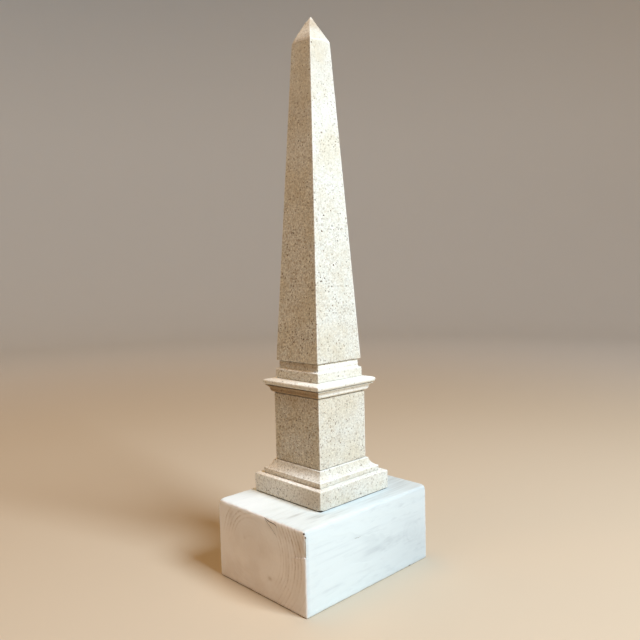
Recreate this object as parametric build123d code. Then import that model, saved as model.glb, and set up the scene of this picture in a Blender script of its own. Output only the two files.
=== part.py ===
"""Tabletop obelisk: a tapering stone shaft on a moulded pedestal, standing on a painted timber block.

Millimetres. The origin is the centre of the timber block's underside, with +Z up, +X along the
timber's grain and +Y from the long front face to the long back face. The stones are square, and
stand one on another with a thin bed of putty under each.
"""

from build123d import *
import os

# Timber block, cut from a length of softwood and painted
block_length = 190.0  # along the grain
block_width = 141.0
block_height = 86.5
block_arris = 2.0  # radius of the rubbed edges

# Timber that shows past the plinth, which stands a little off centre
right_margin = 38.0  # on the +X side
back_margin = 9.5  # on the +Y side

# Putty between the stones, kept back from their faces so that it shows as a fine dark line
putty_thickness = 0.4
putty_inset = 0.8

# Putty between the lowest stone and the timber
seat_thickness = 0.8
seat_inset = 1.5

# Plinth, a plain slab
plinth_margin = 7.2  # from the base moulding's face out to the plinth's face
plinth_height = 20.6

# Base moulding: an upright fillet, a cavetto and a lip that the die stands on
base_fillet_height = 5.4
base_cavetto_reach = 7.9  # from the lip's face out to the fillet's face
base_cavetto_height = 8.3
base_cavetto_depth = 1.6  # hollow under the straight line between its ends
base_lip_reach = 2.4  # from the die's face out to the lip's face
base_lip_height = 1.2

# Die, the plain body of the pedestal
die_width = 72.0
die_height = 76.0

# Bed moulding that carries the cornice: a thin step, an ovolo, a low waist and a shallow cavetto
step_reach = 0.2
step_height = 0.4
ovolo_radius = 3.2
waist_height = 0.8
bed_cavetto_reach = 4.0
bed_cavetto_height = 4.1
bed_cavetto_depth = 0.5  # hollow under the straight line between its ends

# Cornice, a slab with a thumb-shaped edge
cornice_overhang = 1.7  # from the bed moulding's head out to the nose
nose_radius = 3.6  # rounds the edge of the underside
nose_height = 4.5  # from the underside up to the top of the upright nose
thumb_height = 2.6  # from the nose up to the flat top

# Shaft with its pyramid point, cut from one stone
shaft_foot_width = 67.4
shaft_head_width = 29.7
shaft_height = 345.8
point_height = 28.0
tip_width = 1.0  # the point is very slightly blunt

# Socle under the shaft: an upright band, a narrow ledge, a cavetto and a neck
shaft_overhang = 2.4  # from the neck's face out to the shaft's foot
socle_cavetto_radius = 2.0
socle_ledge = 1.0
socle_band_height = 10.6
neck_height = 6.8

# Widths that follow from the die and the shaft
base_lip_width = die_width + 2 * base_lip_reach
base_moulding_width = base_lip_width + 2 * base_cavetto_reach
plinth_width = base_moulding_width + 2 * plinth_margin
bed_moulding_foot_width = die_width + 2 * step_reach
bed_moulding_head_width = bed_moulding_foot_width + 2 * (ovolo_radius + bed_cavetto_reach)
cornice_width = bed_moulding_head_width + 2 * cornice_overhang
soffit_width = cornice_width - 2 * nose_radius
neck_width = shaft_foot_width - 2 * shaft_overhang
socle_width = neck_width + 2 * (socle_cavetto_radius + socle_ledge)

# Centre line of the stones
stone_x = block_length / 2 - right_margin - plinth_width / 2
stone_y = block_width / 2 - back_margin - plinth_width / 2

QUARTER = 90.0  # degrees, turning left from the edge before; the opposite sign turns right
INWARD = (-1, 0)
OUTWARD = (1, 0)
ON_ITS_FOOT = (Align.CENTER, Align.CENTER, Align.MIN)


def upright(start, height):
    """Upright edge of a stone's outline."""
    return Line(start, start + Vector(0, height))


def square_stone(outline):
    """Stone with the same outline on all four sides, mitred where they meet.

    The outline is a list of joined edges from the foot to the head, in half width and height.
    """
    foot = outline[0] @ 0
    head = outline[-1] @ 1
    foot_centre = Vector(0, foot.Y)
    head_centre = Vector(0, head.Y)
    closing = [Line(foot_centre, foot), Line(head, head_centre), Line(head_centre, foot_centre)]
    half_section = make_face(Curve() + [*outline, *closing])
    section = Plane.XZ * (half_section + mirror(half_section, Plane.YZ))
    bar = extrude(section, section.bounding_box().size.X, both=True)
    return bar & Rotation(0, 0, 90) * bar


def putty_bed(lower_width, upper_width, thickness, inset):
    """Square bed kept back from the face of the narrower of the two stones that it joins."""
    width = min(lower_width, upper_width) - 2 * inset
    return Box(width, width, thickness, align=ON_ITS_FOOT)


def timber_block():
    block = Box(block_length, block_width, block_height, align=ON_ITS_FOOT)
    return fillet(block.edges(), block_arris)


def plinth():
    return square_stone([upright(Vector(plinth_width / 2, 0), plinth_height)])


def base_moulding():
    fillet_face = upright(Vector(base_moulding_width / 2, 0), base_fillet_height)
    lip = upright((fillet_face @ 1) + Vector(-base_cavetto_reach, base_cavetto_height), base_lip_height)
    cavetto = SagittaArc(fillet_face @ 1, lip @ 0, base_cavetto_depth)
    return square_stone([fillet_face, cavetto, lip])


def die():
    return square_stone([upright(Vector(die_width / 2, 0), die_height)])


def bed_moulding():
    step = upright(Vector(bed_moulding_foot_width / 2, 0), step_height)
    ovolo = JernArc(step @ 1, OUTWARD, ovolo_radius, QUARTER)
    waist = upright(ovolo @ 1, waist_height)
    head = (waist @ 1) + Vector(bed_cavetto_reach, bed_cavetto_height)
    cavetto = SagittaArc(waist @ 1, head, bed_cavetto_depth)
    return square_stone([step, ovolo, waist, cavetto])


def cornice():
    nose_round = JernArc(Vector(soffit_width / 2, 0), OUTWARD, nose_radius, QUARTER)
    nose = Line(nose_round @ 1, Vector(cornice_width / 2, nose_height))
    thumb_centre = Vector(socle_width / 2, nose_height)
    thumb_reach = (cornice_width - socle_width) / 2
    thumb = EllipticalCenterArc(thumb_centre, thumb_reach, thumb_height, arc_size=QUARTER)
    return square_stone([nose_round, nose, thumb])


def socle():
    band = upright(Vector(socle_width / 2, 0), socle_band_height)
    ledge = Line(band @ 1, band @ 1 - Vector(socle_ledge, 0))
    cavetto = JernArc(ledge @ 1, INWARD, socle_cavetto_radius, -QUARTER)
    neck = upright(cavetto @ 1, neck_height)
    return square_stone([band, ledge, cavetto, neck])


def shaft():
    side = Line(Vector(shaft_foot_width / 2, 0), Vector(shaft_head_width / 2, shaft_height))
    point = Line(side @ 1, Vector(tip_width / 2, shaft_height + point_height))
    return square_stone([side, point])


def build():
    """Every piece by name, stacked from the timber block up."""
    # name, solid, width across the foot, width across the head
    stones = [
        ("plinth", plinth(), plinth_width, plinth_width),
        ("base_moulding", base_moulding(), base_moulding_width, base_lip_width),
        ("die", die(), die_width, die_width),
        ("bed_moulding", bed_moulding(), bed_moulding_foot_width, bed_moulding_head_width),
        ("cornice", cornice(), soffit_width, socle_width),
        ("socle", socle(), socle_width, neck_width),
        ("shaft", shaft(), shaft_foot_width, shaft_head_width),
    ]
    pieces = {"timber_block": timber_block()}
    level = block_height
    width_below = plinth_width
    thickness = seat_thickness
    inset = seat_inset
    for name, stone, foot_width, head_width in stones:
        bed = putty_bed(width_below, foot_width, thickness, inset)
        pieces[f"putty_under_{name}"] = Pos(stone_x, stone_y, level) * bed
        level += thickness
        pieces[name] = Pos(stone_x, stone_y, level) * stone
        level += stone.bounding_box().size.Z
        width_below = head_width
        thickness = putty_thickness
        inset = putty_inset
    return pieces


os.makedirs("parts", exist_ok=True)
for node, piece in build().items():
    export_step(piece, f"parts/{node}.step")
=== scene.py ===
"""Stone obelisk on a painted timber block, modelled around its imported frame.

Metres, in the frame's own axes: +Z up, +X along the timber's grain, origin under the timber.
"""

import math
import random

import bpy
import numpy as np
from mathutils import Euler, Matrix, Vector, noise


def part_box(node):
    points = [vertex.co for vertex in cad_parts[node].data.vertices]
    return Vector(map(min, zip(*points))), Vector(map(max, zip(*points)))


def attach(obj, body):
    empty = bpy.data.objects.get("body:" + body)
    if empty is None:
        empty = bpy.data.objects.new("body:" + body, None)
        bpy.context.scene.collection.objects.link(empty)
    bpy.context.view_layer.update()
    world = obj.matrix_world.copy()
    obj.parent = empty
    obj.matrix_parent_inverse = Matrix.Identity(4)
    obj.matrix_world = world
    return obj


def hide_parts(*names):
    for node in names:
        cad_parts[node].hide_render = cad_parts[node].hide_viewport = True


bl_info = {
    "name": "Obelisk on a Timber Block",
    "version": (1, 0, 0),
    "blender": (4, 5, 0),
    "location": "3D View > Sidebar > Obelisk",
    "description": "Models a moulded stone obelisk and the painted timber block that it stands on",
    "category": "Object",
}

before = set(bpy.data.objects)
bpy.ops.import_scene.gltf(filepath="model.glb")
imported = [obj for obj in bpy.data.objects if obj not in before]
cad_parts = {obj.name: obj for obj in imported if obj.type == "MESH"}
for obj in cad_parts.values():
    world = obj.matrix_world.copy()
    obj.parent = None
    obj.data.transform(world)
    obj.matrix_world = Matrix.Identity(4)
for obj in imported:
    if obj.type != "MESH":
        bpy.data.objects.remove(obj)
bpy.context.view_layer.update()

MM = 0.001
BODY = "root"


# ---------------------------------------------------------------- settings


COLOUR = {"size": 3, "subtype": "COLOR", "min": 0, "max": 1}


class StoneSettings(bpy.types.PropertyGroup):
    grid: bpy.props.FloatProperty(
        name="Grid", description="Spacing of the mesh on a stone's faces", default=1.1 * MM, unit="LENGTH"
    )
    arris: bpy.props.FloatProperty(
        name="Arris", description="Width of the rubbed edges", default=0.45 * MM, unit="LENGTH"
    )
    wear: bpy.props.FloatProperty(
        name="Wear", description="How deep the edges are nibbled", default=0.5 * MM, unit="LENGTH"
    )
    pit_area: bpy.props.FloatProperty(
        name="Face per Pit", description="Area of stone for each pit", default=260.0 * MM * MM, unit="AREA"
    )
    grain_contrast: bpy.props.FloatProperty(
        name="Grain", description="How much the grains differ in shade", default=0.46, subtype="FACTOR"
    )
    light_colour: bpy.props.FloatVectorProperty(
        name="Light Stone", description="Palest part of the stone", default=(0.675, 0.658, 0.575), **COLOUR
    )
    warm_colour: bpy.props.FloatVectorProperty(
        name="Warm Stone", description="Warmer clouds in the stone", default=(0.635, 0.588, 0.468), **COLOUR
    )
    mottle_colour: bpy.props.FloatVectorProperty(
        name="Mottle", description="Fine tan mottling", default=(0.40, 0.31, 0.20), **COLOUR
    )
    # also the colour of the painted highlights on arrises, level tops and ledges
    pale_and_highlight_colour: bpy.props.FloatVectorProperty(
        name="Pale Specks", description="Pale specks and worn arrises", default=(0.91, 0.895, 0.815), **COLOUR
    )
    brown_colour: bpy.props.FloatVectorProperty(
        name="Brown Specks", description="Small grey-brown specks", default=(0.20, 0.142, 0.092), **COLOUR
    )
    speck_colour: bpy.props.FloatVectorProperty(
        name="Dark Specks", description="Larger dark specks", default=(0.085, 0.057, 0.037), **COLOUR
    )


class TimberSettings(bpy.types.PropertyGroup):
    grid: bpy.props.FloatProperty(
        name="Grid", description="Spacing of the mesh across the grain", default=1.1 * MM, unit="LENGTH"
    )
    arris: bpy.props.FloatProperty(
        name="Arris", description="Radius of the rubbed edges", default=1.5 * MM, unit="LENGTH"
    )
    ring: bpy.props.FloatProperty(
        name="Growth Ring", description="Thickness of a growth ring", default=4.5 * MM, unit="LENGTH"
    )
    relief: bpy.props.FloatProperty(
        name="Relief", description="How far the soft rings sink on the end grain", default=0.10 * MM,
        unit="LENGTH"
    )
    paint_colour: bpy.props.FloatVectorProperty(
        name="Paint", description="White paint where it is thick", default=(0.70, 0.762, 0.745), **COLOUR
    )
    # painted shade: the paint is darkened towards the +X end and low down
    paint_shade_colour: bpy.props.FloatVectorProperty(
        name="Dull Paint", description="The paint towards the +X end", default=(0.56, 0.61, 0.608), **COLOUR
    )
    thin_colour: bpy.props.FloatVectorProperty(
        name="Thin Paint", description="Grey of the grain under thin paint", default=(0.35, 0.395, 0.41), **COLOUR
    )
    top_colour: bpy.props.FloatVectorProperty(
        name="Thin Paint on Top", description="Wood under the thin paint on the top", default=(0.35, 0.365, 0.335),
        **COLOUR
    )
    end_colour: bpy.props.FloatVectorProperty(
        name="End Grain", description="Paint on the end grain", default=(0.89, 0.828, 0.765), **COLOUR
    )
    stained_colour: bpy.props.FloatVectorProperty(
        name="Stained Paint", description="Clouds in the paint on the end grain", default=(0.755, 0.665, 0.583),
        **COLOUR
    )
    ring_colour: bpy.props.FloatVectorProperty(
        name="Ring Lines", description="Dark wood of the rings on the end grain", default=(0.46, 0.34, 0.23), **COLOUR
    )


class StageSettings(bpy.types.PropertyGroup):
    floor_colour: bpy.props.FloatVectorProperty(
        name="Floor", description="Colour of the floor and its raised rim", default=(0.55, 0.46, 0.34), **COLOUR
    )
    wall_colour: bpy.props.FloatVectorProperty(
        name="Wall", description="Colour of the wall round the floor", default=(0.77, 0.755, 0.72), **COLOUR
    )
    key_power: bpy.props.FloatProperty(
        name="Key Light", description="Power of the large soft light", default=70.5, subtype="POWER"
    )
    fill_power: bpy.props.FloatProperty(
        name="Fill Light", description="Power of the weak warm light on the shaded side", default=6.7,
        subtype="POWER"
    )
    top_power: bpy.props.FloatProperty(
        name="Top Light", description="Power of the large light overhead", default=33.5, subtype="POWER"
    )
    fill_strength: bpy.props.FloatProperty(
        name="Surround", description="Strength of the light from all round", default=0.02
    )


# ---------------------------------------------------------------- modelling by hand


POINTS, EDGES, FACES = (True, False, False), (False, True, False), (False, False, True)
SHARP = math.radians(30)  # edges that turn by more are bevelled
SMOOTH_BELOW = math.radians(32)  # edges that turn by less are shaded smooth
STRAY = 0.001 * MM  # an edge that strays by less runs along its axis


def deselect_all():
    if bpy.context.object and bpy.context.object.mode != "OBJECT":
        bpy.ops.object.mode_set(mode="OBJECT")
    bpy.ops.object.select_all(action="DESELECT")


def pick(piece):
    """Make one object selected and active."""
    deselect_all()
    piece.select_set(True)
    bpy.context.view_layer.objects.active = piece


def apply_modifier(piece, modifier):
    pick(piece)
    bpy.ops.object.modifier_apply(modifier=modifier.name)


def edit_all(piece):
    """Enter edit mode with everything on one piece selected."""
    pick(piece)
    bpy.ops.object.mode_set(mode="EDIT")
    bpy.ops.mesh.select_all(action="SELECT")


def leave_edit():
    bpy.ops.object.mode_set(mode="OBJECT")


def points_of(mesh):
    """Every point of a mesh, as rows."""
    flat = np.empty(len(mesh.vertices) * 3)
    mesh.vertices.foreach_get("co", flat)
    return flat.reshape(-1, 3)


def edit_with(piece, mode, parts, chosen):
    """Enter edit mode with only the chosen points or edges of a piece selected."""
    pick(piece)
    bpy.context.tool_settings.mesh_select_mode = mode
    mesh = piece.data
    for kind in (mesh.vertices, mesh.edges, mesh.polygons):
        kind.foreach_set("select", np.zeros(len(kind), bool))
    parts.foreach_set("select", chosen)
    bpy.ops.object.mode_set(mode="EDIT")


def push(piece, place, reach, move, spread):
    """Move the points within reach of a place, and those around them less and less over the spread."""
    away = np.linalg.norm(points_of(piece.data) - np.array(place), axis=1)
    if not (away < reach).any():
        raise RuntimeError(f"{piece.name} has no point near {tuple(place)}")
    edit_with(piece, POINTS, piece.data.vertices, away < reach)
    bpy.ops.transform.translate(value=move, use_proportional_edit=True, proportional_size=spread,
                                proportional_edit_falloff="SMOOTH")
    leave_edit()


def cut_edges_along(piece, axis, cuts, longer_than=4 * MM):
    """Divide the long edges that run along one axis."""
    mesh = piece.data
    ends = np.empty(len(mesh.edges) * 2, np.int32)
    mesh.edges.foreach_get("vertices", ends)
    corners = points_of(mesh)[ends.reshape(-1, 2)]
    reach = np.abs(corners[:, 1] - corners[:, 0])
    across = np.delete(reach, axis, axis=1).max(axis=1)
    edit_with(piece, EDGES, mesh.edges, (across < STRAY) & (reach[:, axis] > longer_than))
    bpy.ops.mesh.subdivide(number_cuts=cuts, smoothness=0)
    leave_edit()


def arc(centre, radii, start, end, steps):
    """Points of an arc in half width and level, from one angle to another in degrees."""
    angles = np.radians(np.linspace(start, end, steps + 1))
    return [(centre[0] + radii[0] * math.cos(t), centre[1] + radii[1] * math.sin(t)) for t in angles]


def hollow(start, end, depth, steps):
    """Points of a shallow arc that sinks by the depth to the left of the way from start to end."""
    reach = math.hypot(end[0] - start[0], end[1] - start[1])
    radius = (reach * reach / 4 + depth * depth) / (2 * depth)
    along = ((end[0] - start[0]) / reach, (end[1] - start[1]) / reach)
    points = []
    for step in range(steps + 1):
        travel = reach * step / steps
        sink_by = math.sqrt(radius * radius - (travel - reach / 2) ** 2) - (radius - depth)
        points.append((start[0] + along[0] * travel - along[1] * sink_by,
                       start[1] + along[1] * travel + along[0] * sink_by))
    return points


def finely(outline, spacing):
    """The same outline with points no further apart than the spacing."""
    fine = [outline[0]]
    for (half, level), (next_half, next_level) in zip(outline, outline[1:]):
        steps = max(1, round(math.hypot(next_half - half, next_level - level) / spacing))
        for step in range(1, steps + 1):
            share = step / steps
            fine.append((half + (next_half - half) * share, level + (next_level - level) * share))
    return fine


def draw_up(centre, outline):
    """Draw the selected ring up through an outline's points, one extrusion for each."""
    half, level = outline[0]
    for next_half, next_level in outline[1:]:
        bpy.ops.mesh.extrude_region_move(TRANSFORM_OT_translate={"value": (0, 0, next_level - level)})
        share = next_half / half
        bpy.ops.transform.resize(value=(share, share, 1), center_override=(*centre, next_level))
        half, level = next_half, next_level


def raise_square(name, centre, outline):
    """Open square tube drawn up from a ring of four edges."""
    deselect_all()
    half, level = outline[0]
    bpy.ops.mesh.primitive_circle_add(
        vertices=4, radius=half * math.sqrt(2), location=(*centre, level), rotation=(0, 0, math.pi / 4)
    )
    piece = bpy.context.object
    piece.name = name
    bpy.ops.object.transform_apply(location=True, rotation=True, scale=True)
    bpy.context.tool_settings.mesh_select_mode = EDGES
    edit_all(piece)
    draw_up(centre, outline)
    leave_edit()
    return piece


def round_sharp_edges(piece, width, segments):
    edit_all(piece)
    bpy.ops.mesh.normals_make_consistent(inside=False)
    bpy.ops.mesh.select_all(action="DESELECT")
    bpy.ops.mesh.edges_select_sharp(sharpness=SHARP)
    bpy.ops.mesh.bevel(offset=width, segments=segments, profile=0.5, clamp_overlap=False)
    leave_edit()


def close_ends(piece):
    edit_all(piece)
    bpy.ops.mesh.fill_holes(sides=0)
    bpy.ops.mesh.select_all(action="SELECT")
    bpy.ops.mesh.normals_make_consistent(inside=False)
    leave_edit()


def press_in(piece, name, weights, depth, clouds=None):
    """Press points in by the depth times their weights, unevenly where a size of clouds is given."""
    group = piece.vertex_groups.new(name=name)
    for index in np.nonzero(weights > 0.01)[0]:
        group.add([int(index)], float(weights[index]), "REPLACE")
    displace = piece.modifiers.new(name, "DISPLACE")
    displace.vertex_group = name
    if not clouds:
        displace.strength = -depth
        displace.mid_level = 0.0
        apply_modifier(piece, displace)
        return
    texture = bpy.data.textures.new(name, "CLOUDS")
    texture.noise_scale = clouds
    texture.noise_depth = 2
    texture.intensity = 1.1
    displace.texture = texture
    displace.texture_coords = "LOCAL"
    displace.strength = depth
    displace.mid_level = 1.0
    apply_modifier(piece, displace)
    bpy.data.textures.remove(texture)


def set_attribute(piece, name, values):
    attribute = piece.data.attributes.new(name, "FLOAT", "POINT")
    attribute.data.foreach_set("value", np.asarray(values, np.float32))


# ---------------------------------------------------------------- fading by place


def rise(values, start, reach):
    """0 up to the start, and 1 from the reach beyond it, both in millimetres."""
    return np.clip((values - start * MM) / (reach * MM), 0, 1)


def fade(distance, reach):
    """1 at no distance, falling to 0 at the reach in millimetres."""
    return np.clip(1 - distance / (reach * MM), 0, 1)


def spot(across, up, middle, level, length, height):
    """1 in the middle of a soft spot, falling off over its half length and half height, in millimetres."""
    away = ((across - middle * MM) / (length * MM)) ** 2 + ((up - level * MM) / (height * MM)) ** 2
    return np.exp(-away)


# ---------------------------------------------------------------- carving


LUMP_ROUGHNESS = 0.16  # how far a pebble's points stray from round, as a share of its radius
CRACK_END = 0.15  # how wide a crack is at its two ends, as a share of its width
HIDDEN_FACE = 20 * MM * MM  # only the faces that close a stone's ends are larger
PIT_RADIUS, PIT_SPREAD, LARGEST_PIT = 0.50 * MM, 0.32, 1.1 * MM  # the spread is that of the radius's logarithm
PIT_GAP = 0.5 * MM
PIT_MARGINS = (0.5 * MM, 0.2 * MM)  # kept free at a stone's foot and head


def model_lump(seed):
    """Irregular pebble of unit radius, the shape of a hole in the stone."""
    deselect_all()
    bpy.ops.mesh.primitive_ico_sphere_add(subdivisions=2, radius=1.0)
    lump = bpy.context.object
    edit_all(lump)
    bpy.ops.transform.vertex_random(offset=LUMP_ROUGHNESS, seed=seed)
    leave_edit()
    return lump


def carve(piece, cutter):
    """Cut a closed mesh out of a piece. The new walls take the piece's second material."""
    cutter.data.materials.clear()
    for material in piece.data.materials:
        cutter.data.materials.append(material)
    cutter.data.polygons.foreach_set("material_index", np.ones(len(cutter.data.polygons), int))
    boolean = piece.modifiers.new("carve", "BOOLEAN")
    boolean.operation = "DIFFERENCE"
    boolean.solver = "MANIFOLD"
    boolean.object = cutter
    apply_modifier(piece, boolean)
    bpy.data.objects.remove(cutter)


def model_lumps(holes):
    """One mesh of pebbles, each (centre, radii, turn)."""
    lump = model_lump(len(holes))
    copies = []
    for centre, radii, turn in holes:
        copy = lump.copy()
        copy.data = lump.data.copy()
        copy.data.transform(Matrix.LocRotScale(centre, turn, radii))
        bpy.context.collection.objects.link(copy)
        copies.append(copy)
    deselect_all()
    for copy in copies:
        copy.select_set(True)
    bpy.context.view_layer.objects.active = copies[0]
    bpy.ops.object.join()
    bpy.data.objects.remove(lump)
    return copies[0]


def model_crack(path, along, width, depth):
    """Blade with a pointed section, drawn along a path that runs mostly along X (0) or Y (1)."""
    deselect_all()
    turn = (0, math.pi / 2, 0) if along == 0 else (math.pi / 2, 0, 0)
    bpy.ops.mesh.primitive_circle_add(vertices=4, radius=1, fill_type="NGON", location=path[0], rotation=turn)
    blade = bpy.context.object
    bpy.ops.object.transform_apply(location=True, rotation=True, scale=True)
    bpy.context.tool_settings.mesh_select_mode = FACES
    edit_all(blade)
    section = [depth, depth, width / 2]
    section[along] = 1.0
    bpy.ops.transform.resize(value=section, center_override=path[0])
    wide = CRACK_END
    bpy.ops.transform.resize(value=(wide, wide, wide), center_override=path[0])
    for start, end in zip(path, path[1:]):
        bpy.ops.mesh.extrude_region_move(TRANSFORM_OT_translate={"value": Vector(end) - Vector(start)})
        next_wide = CRACK_END if end == path[-1] else 1.0
        share = next_wide / wide
        bpy.ops.transform.resize(value=(share, share, share), center_override=end)
        wide = next_wide
    leave_edit()
    close_ends(blade)
    return blade


def scatter_pits(piece, draw, count, low, high, placed):
    """The placed pits, and others at random between two levels, spaced so that none run together."""
    mesh = piece.data
    total = len(mesh.polygons)
    areas = np.empty(total)
    mesh.polygons.foreach_get("area", areas)
    centres = np.empty(total * 3)
    mesh.polygons.foreach_get("center", centres)
    centres = centres.reshape(-1, 3)
    shown = (centres[:, 2] > low) & (centres[:, 2] < high) & (areas < HIDDEN_FACE)
    weights = np.where(shown, areas, 0.0)
    pits = list(placed)
    for index in draw.choices(range(total), weights=weights, k=count):
        size = min(draw.lognormvariate(math.log(PIT_RADIUS), PIT_SPREAD), LARGEST_PIT)
        centre = Vector(centres[index])
        if any((centre - other).length < size + other_radii[0] + PIT_GAP for other, other_radii, _ in pits):
            continue
        radii = Vector((size, size * draw.uniform(0.6, 1.0), size * draw.uniform(0.6, 1.0)))
        turn = Euler([draw.uniform(0, math.tau) for _ in range(3)]).to_quaternion()
        pits.append((centre, radii, turn))
    return pits


# ---------------------------------------------------------------- materials


def new_material(name):
    material = bpy.data.materials.new(name)
    material.use_nodes = True
    return material, material.node_tree, material.node_tree.nodes["Principled BSDF"]


def node(tree, kind, inputs, **settings):
    """Shader node with its settings, and inputs given as values or as sockets to link."""
    made = tree.nodes.new(kind)
    for name, value in settings.items():
        setattr(made, name, value)
    for name, value in inputs.items():
        if isinstance(value, bpy.types.NodeSocket):
            tree.links.new(value, made.inputs[name])
        else:
            made.inputs[name].default_value = value
    return made


def reckon(tree, operation, first, second=0.0, clamp=False):
    made = node(tree, "ShaderNodeMath", {0: first, 1: second}, operation=operation, use_clamp=clamp)
    return made.outputs[0]


def times(tree, first, second, clamp=False):
    return reckon(tree, "MULTIPLY", first, second, clamp)


def plus(tree, first, second):
    return reckon(tree, "ADD", first, second)


def ease(tree, value, low, high, start=0.0, end=1.0):
    """Smooth step of a value from low to high."""
    inputs = {"Value": value, "From Min": low, "From Max": high, "To Min": start, "To Max": end}
    return node(tree, "ShaderNodeMapRange", inputs, interpolation_type="SMOOTHSTEP").outputs["Result"]


def blend(tree, share, first, second, mode="MIX"):
    """Colour mixed from the first to the second by a share."""
    settings = {"data_type": "RGBA", "blend_type": mode}
    return node(tree, "ShaderNodeMix", {0: share, 6: first, 7: second}, **settings).outputs[2]


def cloudy(tree, place, scale, detail=3.0, roughness=0.55):
    inputs = {"Vector": place, "Scale": scale, "Detail": detail, "Roughness": roughness}
    return node(tree, "ShaderNodeTexNoise", inputs).outputs["Fac"]


def stretched(tree, place, scale):
    """The place with each axis scaled on its own."""
    return node(tree, "ShaderNodeMapping", {"Vector": place, "Scale": scale}).outputs["Vector"]


def object_place(tree):
    return node(tree, "ShaderNodeTexCoord", {}).outputs["Object"]


def attribute(tree, name):
    return node(tree, "ShaderNodeAttribute", {}, attribute_name=name).outputs["Fac"]


def colour(value):
    return (*value, 1.0)


SPECK_EDGE = 12.0  # how steeply a speck fades out at its edge


def specks(tree, place, cell, share, smallest, largest):
    """Spots with ragged edges in a share of the cells, each with a size and a strength of its own."""
    cells = node(tree, "ShaderNodeTexVoronoi", {"Vector": place, "Scale": 1 / cell, "Randomness": 1.0})
    chance = node(tree, "ShaderNodeSeparateColor", {"Color": cells.outputs["Color"]})
    lucky = reckon(tree, "GREATER_THAN", chance.outputs["Red"], 1 - share)
    size = ease(tree, chance.outputs["Blue"], 0.0, 1.0, smallest / cell, largest / cell)
    inside = reckon(tree, "SUBTRACT", size, cells.outputs["Distance"])
    spots = times(tree, times(tree, inside, SPECK_EDGE, clamp=True), lucky)
    return spots, chance.outputs["Green"]


def grey(tree, value):
    return node(tree, "ShaderNodeCombineColor", {"Red": value, "Green": value, "Blue": value}).outputs[0]


def darkened(tree, share, base, tint):
    """The base multiplied by a tint, in a share."""
    return blend(tree, share, base, blend(tree, 1.0, base, tint, "MULTIPLY"))


def bumped(tree, shader, height, strength, distance):
    bump = node(tree, "ShaderNodeBump", {"Height": height, "Strength": strength, "Distance": distance})
    tree.links.new(bump.outputs["Normal"], shader.inputs["Normal"])


GRAIN_SIZE = 1.25 * MM
RAGGED_BY = 1.1 * MM  # how far the edges of grains and specks wander
# colour of dirt and of painted shade
GRIME_AND_SHADE = (0.56, 0.41, 0.28)
# Specks: size of their cells, share of the cells that hold one, smallest and largest radius, in millimetres,
# faintest and strongest, name of their colour, and whether they come in crowds.
SPECKS = {
    "blots": (5.5, 0.75, 0.8, 1.7, 0.10, 0.55, "brown_colour", True),
    "pale": (4.0, 0.4, 0.4, 0.8, 0.5, 0.5, "pale_and_highlight_colour", False),
    "brown": (2.5, 0.58, 0.50, 1.05, 0.20, 1.0, "brown_colour", True),
    "dark": (5.4, 0.5, 0.55, 1.10, 0.45, 1.20, "speck_colour", True),
}


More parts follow.
